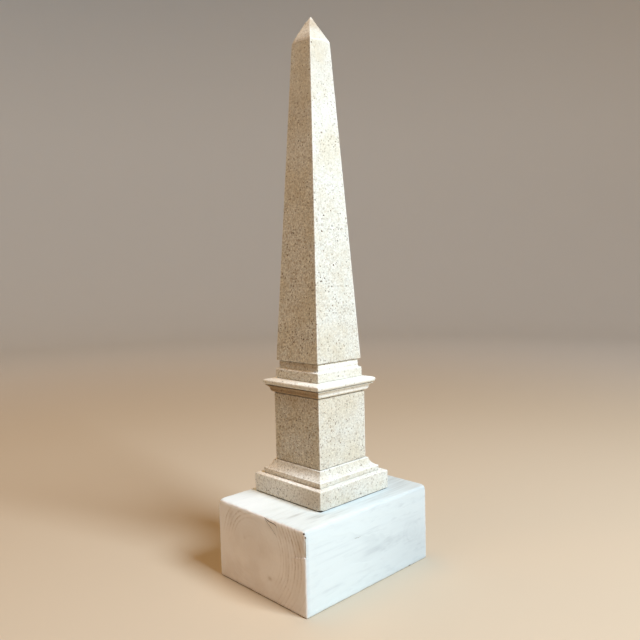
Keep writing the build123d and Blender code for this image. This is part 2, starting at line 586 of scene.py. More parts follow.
def stone_material(settings):
    """Pale stone of fine grains, with brown and dark specks, a few pale ones, bright arrises that are partly worn and
    partly a painted highlight, and dirt mixed with painted shade.
    """
    material, tree, shader = new_material("limestone")
    place = object_place(tree)
    jitter = node(tree, "ShaderNodeTexNoise", {"Vector": place, "Scale": 800.0, "Detail": 2.0})
    shift = node(tree, "ShaderNodeVectorMath", {0: jitter.outputs["Color"], 1: (0.5, 0.5, 0.5)},
                 operation="SUBTRACT").outputs[0]
    ragged = node(tree, "ShaderNodeVectorMath", {0: shift, 1: (RAGGED_BY, RAGGED_BY, RAGGED_BY), 2: place},
                  operation="MULTIPLY_ADD").outputs[0]
    freckled = attribute(tree, "freckled")
    wear_and_highlight = attribute(tree, "wear")

    clouds = ease(tree, cloudy(tree, place, 26.0), 0.36, 0.64)
    base = blend(tree, clouds, colour(settings.light_colour), colour(settings.warm_colour))
    grains = node(tree, "ShaderNodeTexVoronoi", {"Vector": ragged, "Scale": 1 / GRAIN_SIZE})
    grain = node(tree, "ShaderNodeSeparateColor", {"Color": grains.outputs["Color"]}).outputs["Red"]
    shade = plus(tree, times(tree, grain, settings.grain_contrast), 1 - settings.grain_contrast / 2)
    base = darkened(tree, freckled, base, grey(tree, shade))
    # worn arrises turn pale, and so do the painted highlights on arrises, level tops and ledges
    base = blend(tree, times(tree, wear_and_highlight, 0.6), base, colour(settings.pale_and_highlight_colour))
    mottle = cloudy(tree, place, 420.0, 3.0, 0.6)
    share = times(tree, ease(tree, mottle, 0.44, 0.68, 0.0, 0.80), freckled)
    share = times(tree, share, ease(tree, wear_and_highlight, 0.0, 1.2, 1.0, 0.7))
    base = blend(tree, share, base, colour(settings.mottle_colour))

    spotted = plus(tree, times(tree, freckled, 0.50), 0.58)
    spotted = times(tree, spotted, ease(tree, wear_and_highlight, 0.0, 1.0, 1.0, 0.7))
    crowd = times(tree, ease(tree, cloudy(tree, place, 60.0), 0.35, 0.65, 0.6, 1.15), spotted)
    level = node(tree, "ShaderNodeSeparateXYZ", {"Vector": place}).outputs["Z"]
    crowd = times(tree, crowd, ease(tree, level, 0.50, 0.60, 1.0, 0.5))
    spots = {}
    for name, (cell, found, smallest, largest, faintest, strongest, tint, crowds) in SPECKS.items():
        spots[name], tone = specks(tree, ragged, cell * MM, found, smallest * MM, largest * MM)
        share = times(tree, spots[name], ease(tree, tone, 0.0, 1.0, faintest, strongest))
        if crowds:
            share = times(tree, share, crowd, clamp=True)
        base = blend(tree, share, base, colour(getattr(settings, tint)))

    # dirt, and painted shade under the overhangs and on the shaded LEFT side
    base = darkened(tree, attribute(tree, "grime"), base, colour(GRIME_AND_SHADE))
    tree.links.new(base, shader.inputs["Base Color"])
    tree.links.new(ease(tree, mottle, 0.3, 0.7, 0.90, 0.74), shader.inputs["Roughness"])
    shader.inputs["Specular IOR Level"].default_value = 0.3

    height = reckon(tree, "SUBTRACT", times(tree, grain, 0.4), times(tree, mottle, 0.6))
    height = reckon(tree, "SUBTRACT", height, plus(tree, spots["brown"], spots["dark"]))
    bumped(tree, shader, height, 0.6, 0.22 * MM)
    return material


def cloudy_material(name, grain, thresholds, dark, light, roughness):
    """Rough face of two colours in clouds: the walls of the pits, and old bare wood."""
    material, tree, shader = new_material(name)
    clouds = ease(tree, cloudy(tree, object_place(tree), grain), *thresholds)
    tree.links.new(blend(tree, clouds, colour(dark), colour(light)), shader.inputs["Base Color"])
    shader.inputs["Roughness"].default_value = roughness
    return material


def putty_material(name, damp, dry):
    """Putty with a dusty, uneven face, from its damp and its dry colour."""
    material, tree, shader = new_material(name)
    dust = cloudy(tree, object_place(tree), 260.0, 4.0)
    tree.links.new(blend(tree, ease(tree, dust, 0.35, 0.7), colour(damp), colour(dry)), shader.inputs["Base Color"])
    tree.links.new(ease(tree, dust, 0.3, 0.7, 0.8, 0.95), shader.inputs["Roughness"])
    bumped(tree, shader, dust, 0.4, 0.1 * MM)
    return material


# Shares of a growth ring: where its soft part ends, where it is hardest, and over how much it ends.
SOFT_END, HARDEST, RING_DROP = 0.35, 0.85, 0.10
TOP_ARRIS = (0.084, 0.0862)  # levels between which the sides turn into the top
END_CREAM = (0.86, 0.85, 0.83)
# whiter paint on the block's arrises, partly a painted highlight
ARRIS_PAINT_AND_HIGHLIGHT = (0.88, 0.93, 0.95)


def growth_rings(tree, ring):
    """How hard the wood is, from 0 in the soft part of a ring to 1, with some rings fainter than others."""
    rings = reckon(tree, "DIVIDE", attribute(tree, "ring_radius"), ring)
    share = reckon(tree, "FRACT", rings)
    late = times(tree, ease(tree, share, SOFT_END, HARDEST), ease(tree, share, 1 - RING_DROP, 1.0, 1.0, 0.0))
    lot = node(tree, "ShaderNodeTexWhiteNoise", {"W": reckon(tree, "FLOOR", rings)}, noise_dimensions="1D")
    return times(tree, late, ease(tree, lot.outputs["Value"], 0.0, 1.0, 0.35, 1.0))


def side_paint(tree, settings, place, late, brushed, thin):
    """Paint on the long sides and the top: thinner in strokes along the grain, with painted shade low down and towards
    +X.
    """
    along = node(tree, "ShaderNodeSeparateXYZ", {"Vector": place}).outputs["X"]
    level = node(tree, "ShaderNodeSeparateXYZ", {"Vector": place}).outputs["Z"]
    thinned = blend(tree, ease(tree, level, *TOP_ARRIS), colour(settings.thin_colour), colour(settings.top_colour))
    # painted shade: duller low down and towards +X
    shade_low_down = ease(tree, level, 0.075, 0.02, 0.55, 1.0)
    end_and_low_shade = times(tree, ease(tree, along, -0.06, 0.10), shade_low_down)
    thick = blend(tree, end_and_low_shade, colour(settings.paint_colour), colour(settings.paint_shade_colour))
    washed = ease(tree, cloudy(tree, stretched(tree, place, (9.0, 30.0, 30.0)), 1.0, 3.0), 0.42, 0.70)
    line = times(tree, late, ease(tree, washed, 0.0, 1.0, 0.03, 0.16))
    streaky = ease(tree, level, *TOP_ARRIS, 0.10, 0.30)
    line = plus(tree, line, times(tree, times(tree, ease(tree, brushed, 0.40, 0.66), washed), streaky))
    side = blend(tree, line, thick, colour(settings.thin_colour))
    rubbed = ease(tree, cloudy(tree, stretched(tree, place, (46.0, 190.0, 190.0)), 1.0, 3.0, 0.6), 0.50, 0.78)
    rubbed = times(tree, rubbed, ease(tree, along, -0.08, 0.07, 0.14, 0.30))
    side = blend(tree, rubbed, side, thinned)
    smudge = times(tree, thin, ease(tree, brushed, 0.30, 0.62, 0.25, 1.0), clamp=True)
    return blend(tree, smudge, side, thinned)


def end_paint(tree, settings, place, late, thin):
    """Paint on the end grain: blotched, whiter high up, with broken rings showing."""
    level = node(tree, "ShaderNodeSeparateXYZ", {"Vector": place}).outputs["Z"]
    blotch = ease(tree, cloudy(tree, place, 40.0, 3.0), 0.38, 0.66)
    ends = blend(tree, times(tree, blotch, 0.45), colour(settings.end_colour), colour(settings.stained_colour))
    ends = blend(tree, ease(tree, level, 0.040, 0.086, 0.0, 0.55), ends, colour(END_CREAM))
    broken = ease(tree, cloudy(tree, place, 230.0, 3.0), 0.36, 0.62, 0.3, 1.0)
    shown = times(tree, times(tree, late, broken), attribute(tree, "ring_show"))
    ends = blend(tree, shown, ends, colour(settings.ring_colour))
    return blend(tree, times(tree, thin, 0.8, clamp=True), ends, colour(settings.ring_colour))


def paint_material(settings):
    """White paint over softwood: growth rings and grain show through where it is thin."""
    material, tree, shader = new_material("white_paint")
    place = object_place(tree)
    late = growth_rings(tree, settings.ring)
    end = attribute(tree, "end_grain")
    thin = attribute(tree, "thin_paint")
    brushed = cloudy(tree, stretched(tree, place, (11.0, 300.0, 300.0)), 1.0, 4.0, 0.62)
    base = blend(tree, end, side_paint(tree, settings, place, late, brushed, thin),
                 end_paint(tree, settings, place, late, thin))
    # the arrises take whiter paint, partly a painted highlight
    base = blend(tree, times(tree, attribute(tree, "wear"), 0.6), base, colour(ARRIS_PAINT_AND_HIGHLIGHT))
    tree.links.new(base, shader.inputs["Base Color"])
    tree.links.new(ease(tree, brushed, 0.3, 0.7, 0.62, 0.5), shader.inputs["Roughness"])
    shader.inputs["Specular IOR Level"].default_value = 0.35

    relief = times(tree, late, ease(tree, end, 0.0, 1.0, -0.3, -0.6))
    fine = cloudy(tree, place, 900.0, 2.0)
    height = plus(tree, relief, plus(tree, times(tree, brushed, 0.6), times(tree, fine, 0.15)))
    bumped(tree, shader, height, 0.6, 0.22 * MM)
    return material


def materials_for(name):
    """Materials by name, made once."""
    makers = {
        "limestone": lambda: stone_material(bpy.context.scene.obelisk_stone),
        "stone_hollow": lambda: cloudy_material(name, 180.0, (0.4, 0.6), (0.2, 0.145, 0.1), (0.42, 0.31, 0.21), 0.95),
        "dark_putty": lambda: putty_material(name, (0.03, 0.022, 0.016), (0.12, 0.095, 0.07)),
        "grey_putty": lambda: putty_material(name, (0.20, 0.165, 0.125), (0.44, 0.39, 0.32)),
        "pale_putty": lambda: putty_material(name, (0.58, 0.53, 0.43), (0.86, 0.83, 0.75)),
        "white_paint": lambda: paint_material(bpy.context.scene.obelisk_timber),
        "bare_wood": lambda: cloudy_material(name, 300.0, (0.35, 0.65), (0.06, 0.045, 0.035), (0.28, 0.21, 0.15), 0.9),
    }
    return bpy.data.materials.get(name) or makers[name]()


# ---------------------------------------------------------------- stones


def stone_axis():
    """Centre line of the stones, from the die."""
    low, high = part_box("die")
    return (low.x + high.x) / 2, (low.y + high.y) / 2


def half_width(node_name):
    low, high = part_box(node_name)
    return (high.x - low.x) / 2


def near_arrises(piece, centre, levels, reach):
    """How near each point lies to a corner of the stone or to one of its edge levels, from 0 to 1."""
    points = points_of(piece.data)
    across = np.abs(points[:, :2] - np.array(centre))
    distance = np.abs(across[:, 0] - across[:, 1])
    for level in levels:
        distance = np.minimum(distance, np.abs(points[:, 2] - level))
    return fade(distance, reach)


def facing_up(piece):
    """1 on the level tops of a piece, falling to 0 on its slopes and sides."""
    normals = np.empty(len(piece.data.vertices) * 3)
    piece.data.vertices.foreach_get("normal", normals)
    steepest, range_up = 0.55, 0.3
    return np.clip((normals[2::3] - steepest) / range_up, 0, 1)


def on_side(piece, centre, side):
    """1 on one side of a stone, 0 on the others."""
    x, y, _ = points_of(piece.data).T
    out, across = (centre[0] - x, y - centre[1]) if side == LEFT else (centre[1] - y, x - centre[0])
    return rise(out - np.abs(across), -0.5, 1.0)


def stain_and_shade_shares(piece, centre, stains_and_shading):
    """How dark and how pale each point is, from the stains, the painted shade and the painted highlights on its side.
    """
    x, y, z = points_of(piece.data).T
    dirt_and_shade, pale = np.zeros(len(z)), np.zeros(len(z))
    for side, along, level, length, height, strength in stains_and_shading:
        place = y if side == LEFT else x
        share = abs(strength) * spot(place, z, along, level, length, height) * on_side(piece, centre, side)
        if strength > 0:
            dirt_and_shade += share
        else:
            pale += share
    return dirt_and_shade, pale


# LEFT is the side that faces -X and FRONT the side that faces -Y. Places are counted from the timber's middle and
# underside, in millimetres.
LEFT, FRONT = "left", "front"

# Larger pits and nicks: side, place along it, level, radius.
PLINTH_MARKS = [
    (LEFT, -28, 100, 1.1), (LEFT, -35, 103, 0.9), (LEFT, 7, 98, 0.8),
    (FRONT, -28, 97, 1.0), (FRONT, -21, 95, 0.7), (FRONT, -41, 98, 0.8),
]
BASE_MOULDING_MARKS = [
    (LEFT, -30, 108.4, 0.9), (LEFT, -33, 108.3, 1.0), (LEFT, -36, 108.4, 1.1), (LEFT, -38.5, 108.3, 0.8),
    (FRONT, 6, 116, 0.7), (FRONT, 27, 117, 0.6),
]
DIE_MARKS = [
    (LEFT, 5, 182, 1.4), (LEFT, 38, 173, 1.0), (LEFT, 12, 144, 1.2), (LEFT, 15, 152, 1.1), (LEFT, -7, 157, 0.9),
    (LEFT, 26, 164, 0.8), (LEFT, 28, 140, 0.8), (LEFT, -20, 187, 0.8),
    (FRONT, -1, 163, 1.3), (FRONT, -24, 158, 1.1), (FRONT, 29, 178, 1.1), (FRONT, -26, 148, 0.9),
    (FRONT, -6, 181, 0.8), (FRONT, -25, 182, 0.8), (FRONT, 15, 187, 0.7), (FRONT, 25, 145, 0.7),
]
SHAFT_MARKS = [
    (LEFT, 24, 353, 1.2), (LEFT, 34, 304, 1.0), (LEFT, 14, 319, 1.0), (LEFT, -4, 333, 0.9), (LEFT, -4, 262, 1.3),
    (LEFT, 12, 258, 1.2), (LEFT, 17, 254, 0.9), (LEFT, 1, 255, 0.9),
    (FRONT, -12, 377, 1.1), (FRONT, -8, 394, 0.9), (FRONT, -11, 356, 0.9), (FRONT, 2, 289, 0.9),
    (FRONT, 11, 367, 0.9), (FRONT, 23, 344, 0.8), (FRONT, -20, 333, 0.8), (FRONT, -18, 328, 0.9),
    (FRONT, -12, 327, 0.9), (FRONT, 29, 250, 0.8),
]

# Stains, painted shade and painted highlights: side, middle along it, middle level, half length, half height,
# strength. Above 0 the stone is darker, from dirt and from painted shade; below 0 the stone is paler, mostly as
# painted light.
# the paler LEFT face is painted light and its bright top edge a painted highlight; the small spots are stains
PLINTH_STAINS_AND_SHADING = [
    (FRONT, 32, 99, 26, 16, -0.45), (FRONT, -42, 98, 7, 9, 0.22), (FRONT, 0, 98, 60, 20, 0.07),
    (LEFT, 10, 100, 90, 30, -1.6), (LEFT, 10, 108, 90, 1.5, -0.5),
    (LEFT, -38, 97, 28, 20, 0.24), (LEFT, 10, 96, 90, 14, 0.14), (LEFT, -30, 96, 24, 12, 0.20),
    (FRONT, -10, 95, 9, 5, 0.12),
]
# the paler LEFT face is painted light; the dark line at the LEFT foot is a dark joint with painted shade
BASE_MOULDING_STAINS_AND_SHADING = [
    (LEFT, 7, 116, 90, 30, -1.1), (LEFT, 7, 118, 90, 20, 0.10), (LEFT, -36, 108.6, 10, 1.6, 0.5),
    (LEFT, 0, 108.4, 60, 1.0, 0.25), (FRONT, 0, 116, 60, 12, 0.08), (FRONT, -5, 113, 8, 4, 0.12),
]
# the darker top of the LEFT side, under the bed moulding, is painted shade; the small spots are stains
DIE_STAINS_AND_SHADING = [
    (LEFT, 7, 162, 90, 60, 0.11), (LEFT, 5, 196, 60, 10, 0.36), (LEFT, 22, 168, 10, 12, 0.10),
    (FRONT, -4, 155, 6, 6, 0.16), (FRONT, 24, 186, 8, 8, 0.08),
]
# painted shade on the LEFT, under the cornice, and a painted highlight on the FRONT, in the cornice's shadow
BED_MOULDING_SHADING = [(LEFT, 7, 204, 90, 40, 1.25), (FRONT, 4, 204, 90, 7, -1.6)]
# the darker band under the nose on the LEFT is painted shade
CORNICE_STAINS_AND_SHADING = [(LEFT, 7, 209.6, 90, 2.0, 0.28), (LEFT, 7, 215, 90, 2.5, 0.04)]
# painted shade on the LEFT neck under the shaft's overhang, a painted highlight on the LEFT ledge, and painted light
# on the FRONT neck
SOCLE_STAINS_AND_SHADING = [
    (LEFT, 7, 233.5, 90, 4.0, 0.58), (LEFT, 7, 227.0, 90, 0.9, -2.0), (FRONT, 4, 222, 90, 6, 0.06),
    (FRONT, 4, 234, 90, 5, -1.6),
]
# the paler band on the pyramid's LEFT face is a painted highlight
SHAFT_STAINS_AND_SHADING = [
    (LEFT, 10, 296, 20, 7, 0.12), (LEFT, 18, 281, 14, 8, -0.22), (LEFT, 4, 262, 14, 8, 0.16),
    (LEFT, 20, 500, 20, 26, 0.08), (LEFT, 7, 535, 9, 7, -0.15), (LEFT, 12, 330, 10, 14, 0.10),
    (FRONT, 4, 603, 40, 12, 0.60), (FRONT, 4, 562, 40, 42, 0.24), (LEFT, 7, 594, 40, 7, -0.80),
    (LEFT, 7, 600, 40, 9, 0.12), (LEFT, 7, 583.5, 40, 4, 0.32),
]

TUCK = 4 * MM  # how far a stone's top and underside are modelled inwards before they are closed
ARRIS_STEPS = 3
EDGE_REACH, RUBBED_AND_LIT_REACH = 1.6, 1.2  # how far from an arris the stone is nibbled, and how far it is pale from wear and painted highlight, in millimetres
NIBBLES = 3.0 * MM  # size of the nibbles along an arris
TOP_HIGHLIGHT = 0.5  # painted highlight: how much paler a level top is
MARK_INSET = 0.25  # how far a mark's middle lies under the face, as a share of its radius
OTHER_SIDES = 0.50  # how strong the freckles are on the sides other than LEFT; the stronger, darker freckles on LEFT are partly painted shade
FEWER_BETWEEN, FEWER_BY = (0.38, 0.54), (1.0, 0.6)  # levels between which the freckles thin out, and how much


def marks_on(outline, marks, draw):
    """The marks as holes that lie just in the faces of a square stone."""
    centre = stone_axis()
    widest = sorted((level, half) for half, level in outline)
    holes = []
    for side, along, level, radius in marks:
        level, radius = level * MM, radius * MM
        half = np.interp(level, [place[0] for place in widest], [place[1] for place in widest])
        place = Vector((-half, along * MM, level)) if side == LEFT else Vector((along * MM, -half, level))
        flat = 0 if side == LEFT else 1
        place += Vector((*centre, 0))
        place[flat] += MARK_INSET * radius
        place[1 - flat] -= centre[1 - flat]  # the place along a side is counted from the timber's middle
        radii = Vector((radius, radius * draw.uniform(0.7, 1.0), radius * draw.uniform(0.75, 1.0)))
        holes.append((place, radii, Euler((draw.uniform(0, math.tau), 0, 0)).to_quaternion()))
    return holes


def make_stone(node_name, outline, edge_levels, marks=(), stains_and_shading=(), arris=None, grid=None, rubbed=0.0,
               freckles=1.0):
    """Square stone from its outline, with rubbed and nibbled arrises, pits, stains, painted shade and painted
    highlights.

    rubbed is how pale all of it is, which on the bed moulding and the socle is painted light where their overhangs
    shade them, and freckles how much its grain and specks show.
    """
    settings = bpy.context.scene.obelisk_stone
    grid = grid or settings.grid
    centre = stone_axis()
    draw = random.Random(node_name)
    low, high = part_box(node_name)
    piece = raise_square(f"stone_{node_name}", centre, finely(outline, grid))
    round_sharp_edges(piece, arris or settings.arris, ARRIS_STEPS)
    cuts = round(max(half for half, _ in outline) * 2 / grid)
    cut_edges_along(piece, 0, cuts)
    cut_edges_along(piece, 1, cuts)
    close_ends(piece)
    press_in(piece, "arris", near_arrises(piece, centre, edge_levels, EDGE_REACH), settings.wear, clouds=NIBBLES)

    piece.data.materials.append(materials_for("limestone"))
    piece.data.materials.append(materials_for("stone_hollow"))
    shown = 4 * (high.z - low.z) * 2 * half_width(node_name)
    placed = marks_on(outline, marks, draw)
    count = round(shown / settings.pit_area)
    pits = scatter_pits(piece, draw, count, low.z + PIT_MARGINS[0], high.z - PIT_MARGINS[1], placed)
    carve(piece, model_lumps(pits))

    # dirt and painted shade darken; the pale entries add painted highlights
    dirt_and_shade, pale = stain_and_shade_shares(piece, centre, stains_and_shading)
    # arrises are pale from wear and as a painted highlight
    wear_and_highlight = np.maximum(near_arrises(piece, centre, edge_levels, RUBBED_AND_LIT_REACH), rubbed)
    # painted highlight: level tops are made paler, as light from above would make them
    wear_and_highlight += TOP_HIGHLIGHT * facing_up(piece)
    set_attribute(piece, "wear", np.maximum(wear_and_highlight * (1 - np.minimum(dirt_and_shade, 1)), pale))
    set_attribute(piece, "grime", np.minimum(dirt_and_shade, 1))
    fewer_up = np.interp(points_of(piece.data)[:, 2], FEWER_BETWEEN, FEWER_BY)
    # painted shade: the shaded LEFT side gets darker grain and mottle and more specks than the lit sides
    by_side = OTHER_SIDES + (1 - OTHER_SIDES) * on_side(piece, centre, LEFT)
    set_attribute(piece, "freckled", freckles * by_side * fewer_up)
    piece.vertex_groups.clear()
    finish_piece(piece, node_name)
    return piece


def finish_piece(piece, node_name):
    """Smooth shading, and the piece's place in the frame."""
    pick(piece)
    bpy.ops.object.shade_smooth_by_angle(angle=SMOOTH_BELOW)
    deselect_all()
    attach(piece, BODY)
    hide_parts(node_name)


class OBELISK_OT_plinth(bpy.types.Operator):
    """Model the plain square slab under the pedestal"""

    bl_idname = "obelisk.plinth"
    bl_label = "Plinth"

    def execute(self, context):
        low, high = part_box("plinth")
        half = half_width("plinth")
        hidden = half_width("base_moulding") - TUCK
        outline = [(half - TUCK, low.z), (half, low.z), (half, high.z), (hidden, high.z)]
        piece = make_stone("plinth", outline, [low.z, high.z], PLINTH_MARKS, PLINTH_STAINS_AND_SHADING,
                           arris=0.7 * MM, rubbed=0.12, freckles=0.9)
        x, y = stone_axis()
        corner = (x - half, y - half, low.z)
        push(piece, corner, reach=1.6 * MM, move=(0.7 * MM, 0.7 * MM, 0.9 * MM), spread=4.0 * MM)
        return {"FINISHED"}


class OBELISK_OT_base_moulding(bpy.types.Operator):
    """Model the moulding at the pedestal's foot"""

    bl_idname = "obelisk.base_moulding"
    bl_label = "Base Moulding"

    fillet_height: bpy.props.FloatProperty(
        name="Fillet", description="Height of the upright fillet", default=5.4 * MM, unit="LENGTH"
    )
    cavetto_reach: bpy.props.FloatProperty(
        name="Cavetto", description="From the lip out to the fillet", default=7.9 * MM, unit="LENGTH"
    )
    cavetto_height: bpy.props.FloatProperty(
        name="Cavetto Height", description="From the fillet up to the lip", default=8.3 * MM, unit="LENGTH"
    )
    cavetto_depth: bpy.props.FloatProperty(
        name="Cavetto Depth", description="Hollow under the straight line", default=1.6 * MM, unit="LENGTH"
    )

    def execute(self, context):
        low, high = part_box("base_moulding")
        half = half_width("base_moulding")
        fillet = low.z + self.fillet_height
        lip = half - self.cavetto_reach
        hidden = half_width("die") - TUCK
        outline = [(half - TUCK, low.z), (half, low.z)]
        outline += hollow((half, fillet), (lip, fillet + self.cavetto_height), self.cavetto_depth, 9)
        outline += [(lip, high.z), (hidden, high.z)]
        make_stone("base_moulding", outline, [low.z, fillet, high.z], BASE_MOULDING_MARKS, BASE_MOULDING_STAINS_AND_SHADING,
                   arris=0.5 * MM, rubbed=0.2, freckles=0.85)
        return {"FINISHED"}


class OBELISK_OT_die(bpy.types.Operator):
    """Model the plain body of the pedestal"""

    bl_idname = "obelisk.die"
    bl_label = "Die"

    def execute(self, context):
        low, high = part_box("die")
        half = half_width("die")
        outline = [(half - TUCK, low.z), (half, low.z), (half, high.z), (half - TUCK, high.z)]
        make_stone("die", outline, [low.z, high.z], DIE_MARKS, DIE_STAINS_AND_SHADING)
        return {"FINISHED"}


class OBELISK_OT_bed_moulding(bpy.types.Operator):
    """Model the moulding that carries the cornice"""

    bl_idname = "obelisk.bed_moulding"
    bl_label = "Bed Moulding"

    step_reach: bpy.props.FloatProperty(
        name="Step", description="How far the foot stands out from the die", default=0.2 * MM, unit="LENGTH"
    )
    step_height: bpy.props.FloatProperty(
        name="Step Height", description="Height of that foot", default=0.4 * MM, unit="LENGTH"
    )
    ovolo_radius: bpy.props.FloatProperty(
        name="Ovolo", description="Radius of the round", default=3.2 * MM, unit="LENGTH"
    )
    waist_height: bpy.props.FloatProperty(
        name="Waist", description="Height of the upright part over the round", default=0.8 * MM, unit="LENGTH"
    )
    cavetto_depth: bpy.props.FloatProperty(
        name="Cavetto Depth", description="Hollow under the straight line", default=0.5 * MM, unit="LENGTH"
    )

    def execute(self, context):
        low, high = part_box("bed_moulding")
        head = half_width("bed_moulding")
        foot = half_width("die") + self.step_reach
        step = low.z + self.step_height
        ovolo = self.ovolo_radius
        waist = step + ovolo + self.waist_height
        outline = [(foot - TUCK, low.z), (foot, low.z)]
        outline += arc((foot, step + ovolo), (ovolo, ovolo), -90, 0, 6)
        outline += hollow((foot + ovolo, waist), (head, high.z), self.cavetto_depth, 6)
        outline.append((head - 1.5 * TUCK, high.z))
        # rubbed=1.0 paints light onto the moulding in the cornice's shadow
        make_stone("bed_moulding", outline, [low.z, high.z], stains_and_shading=BED_MOULDING_SHADING, arris=0.13 * MM,
                   grid=0.9 * MM, rubbed=1.0, freckles=0.7)
        return {"FINISHED"}


class OBELISK_OT_cornice(bpy.types.Operator):
    """Model the slab with the thumb-shaped edge"""

    bl_idname = "obelisk.cornice"
    bl_label = "Cornice"

    nose_radius: bpy.props.FloatProperty(
        name="Nose", description="Radius under the edge", default=3.6 * MM, unit="LENGTH"
    )
    nose_height: bpy.props.FloatProperty(
        name="Nose Height", description="From the underside up to the thumb", default=4.5 * MM, unit="LENGTH"
    )

    def execute(self, context):
        low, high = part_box("cornice")
        half = half_width("cornice")
        flat = half_width("socle")
        radius = self.nose_radius
        nose = low.z + self.nose_height
        outline = [(half - 2 * TUCK, low.z)]
        outline += arc((half - radius, low.z + radius), (radius, radius), -90, 0, 8)
        outline += arc((flat, nose), (half - flat, high.z - nose), 0, 90, 12)
        outline.append((flat - TUCK, high.z))
        make_stone("cornice", outline, [nose], stains_and_shading=CORNICE_STAINS_AND_SHADING, arris=0.3 * MM, grid=0.9 * MM, rubbed=0.9,
                   freckles=0.45)
        return {"FINISHED"}


class OBELISK_OT_socle(bpy.types.Operator):
    """Model the band and neck under the shaft"""

    bl_idname = "obelisk.socle"
    bl_label = "Socle"

    band_height: bpy.props.FloatProperty(
        name="Band", description="Height of the upright band", default=10.6 * MM, unit="LENGTH"
    )
    ledge: bpy.props.FloatProperty(
        name="Ledge", description="Width of the ledge on the band", default=1.0 * MM, unit="LENGTH"
    )
    band_round: bpy.props.FloatProperty(
        name="Band Round", description="How far down the band's upper edge is rounded", default=2.0 * MM,
        unit="LENGTH"
    )
    cavetto_radius: bpy.props.FloatProperty(
        name="Cavetto", description="Radius of the hollow", default=2.0 * MM, unit="LENGTH"
    )

    def execute(self, context):
        low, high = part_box("socle")
        half = half_width("socle")
        band = low.z + self.band_height
        radius = self.cavetto_radius
        bulge = 0.9 * self.ledge  # the rest of the ledge is level
        outline = [(half - TUCK, low.z), (half, low.z)]
        outline += arc((half - bulge, band - self.band_round), (bulge, self.band_round), 0, 90, 6)
        outline += arc((half - self.ledge, band + radius), (radius, radius), -90, -180, 6)
        neck = half - self.ledge - radius
        outline += [(neck, high.z), (neck - TUCK, high.z)]
        # rubbed=0.6 paints light onto the neck under the shaft's overhang
        make_stone("socle", outline, [low.z, band, high.z], stains_and_shading=SOCLE_STAINS_AND_SHADING, arris=0.4 * MM, grid=0.9 * MM,
                   rubbed=0.6, freckles=0.85)
        return {"FINISHED"}


class OBELISK_OT_shaft(bpy.types.Operator):
    """Model the tapering shaft and its pyramid point"""

    bl_idname = "obelisk.shaft"
    bl_label = "Shaft"

    point_height: bpy.props.FloatProperty(
        name="Point", description="Height of the pyramid", default=28.0 * MM, unit="LENGTH"
    )
    head_width: bpy.props.FloatProperty(
        name="Head", description="Width under the pyramid", default=29.7 * MM, unit="LENGTH"
    )
    tip_width: bpy.props.FloatProperty(
        name="Tip", description="Width of the blunt tip", default=1.6 * MM, unit="LENGTH"
    )

    def execute(self, context):
        low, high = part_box("shaft")
        half = half_width("shaft")
        head_level = high.z - self.point_height
        head = self.head_width / 2
        tip = (self.tip_width / 2, high.z - 0.2 * MM)
        outline = [(half - TUCK, low.z), (half, low.z), (head, head_level), tip]
        piece = make_stone("shaft", outline, [low.z, head_level], SHAFT_MARKS, SHAFT_STAINS_AND_SHADING, grid=1.3 * MM)
        x, y = stone_axis()
        near_corner = (x - head, y - head, head_level)
        left_corner = (x - head, y + head, head_level)
        push(piece, (x, y, high.z), reach=2.2 * MM, move=(0.4 * MM, -0.4 * MM, -0.7 * MM), spread=9.0 * MM)
        push(piece, near_corner, reach=1.5 * MM, move=(0, 0, -1.3 * MM), spread=14.0 * MM)
        push(piece, left_corner, reach=1.5 * MM, move=(0.3 * MM, -0.3 * MM, -0.6 * MM), spread=4.0 * MM)
        return {"FINISHED"}


BED_FINISHES = {
    "putty_under_plinth": "dark_putty",
    "putty_under_base_moulding": "pale_putty",
    "putty_under_cornice": "pale_putty",
    "putty_under_socle": "pale_putty",
}


class OBELISK_OT_putty(bpy.types.Operator):
    """Finish the thin beds of putty between the stones"""

    bl_idname = "obelisk.putty"
    bl_label = "Putty Beds"

    def execute(self, context):
        for name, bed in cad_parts.items():
            if name.startswith("putty_under_"):
                finish = BED_FINISHES.get(name, "grey_putty")
                for slot in bed.material_slots:
                    slot.material = materials_for(finish)
        return {"FINISHED"}


# ---------------------------------------------------------------- timber


# Where the paint is thin, in millimetres: middle of the patch, half its length, half its width, strength.
# Below 0 the paint is thicker and whiter.
TOP_PATCHES = [  # x, y
    (-86, 36, 34, 40, -0.75),
    (-74, -2, 14, 3.5, 0.45), (-50, -10, 10, 2.2, 0.45), (-72, -31, 12, 2.2, 0.65), (-64, -46, 9, 2.0, 0.35),
    (-88, -26, 8, 2.0, 0.3), (-60, 12, 18, 3.0, 0.3), (-40, -62, 16, 1.3, 0.2), (20, -60, 26, 1.4, 0.3),
    (10, -54, 22, 1.3, 0.25), (84, 10, 26, 40, 0.22), (76, -66, 18, 6, 0.15), (-43, -56, 12, 4, 0.30),
    (-60, -48, 10, 3.5, 0.32), (-26, -58, 14, 3.5, 0.2), (10, -52, 70, 9, 0.14), (84, -30, 16, 50, 0.10),
    (60, -48, 22, 1.1, 0.4), (66, -53, 24, 1.0, 0.4), (50, -57, 28, 1.1, 0.34), (40, -62, 26, 1.0, 0.28),
    (76, -44, 18, 1.1, 0.4), (80, -37, 16, 1.1, 0.4), (80, -29, 16, 1.0, 0.4), (78, -20, 18, 1.1, 0.35),
    (82, -8, 14, 1.2, 0.4), (80, 6, 18, 1.1, 0.35), (78, 30, 18, 1.3, 0.4), (-34, -57, 8, 1.7, 0.5),
    (-48, -60, 9, 1.5, 0.5), (-56, -52, 10, 1.5, 0.45), (-30, -64, 8, 1.2, 0.25), (-70, -56, 8, 1.4, 0.3),
]
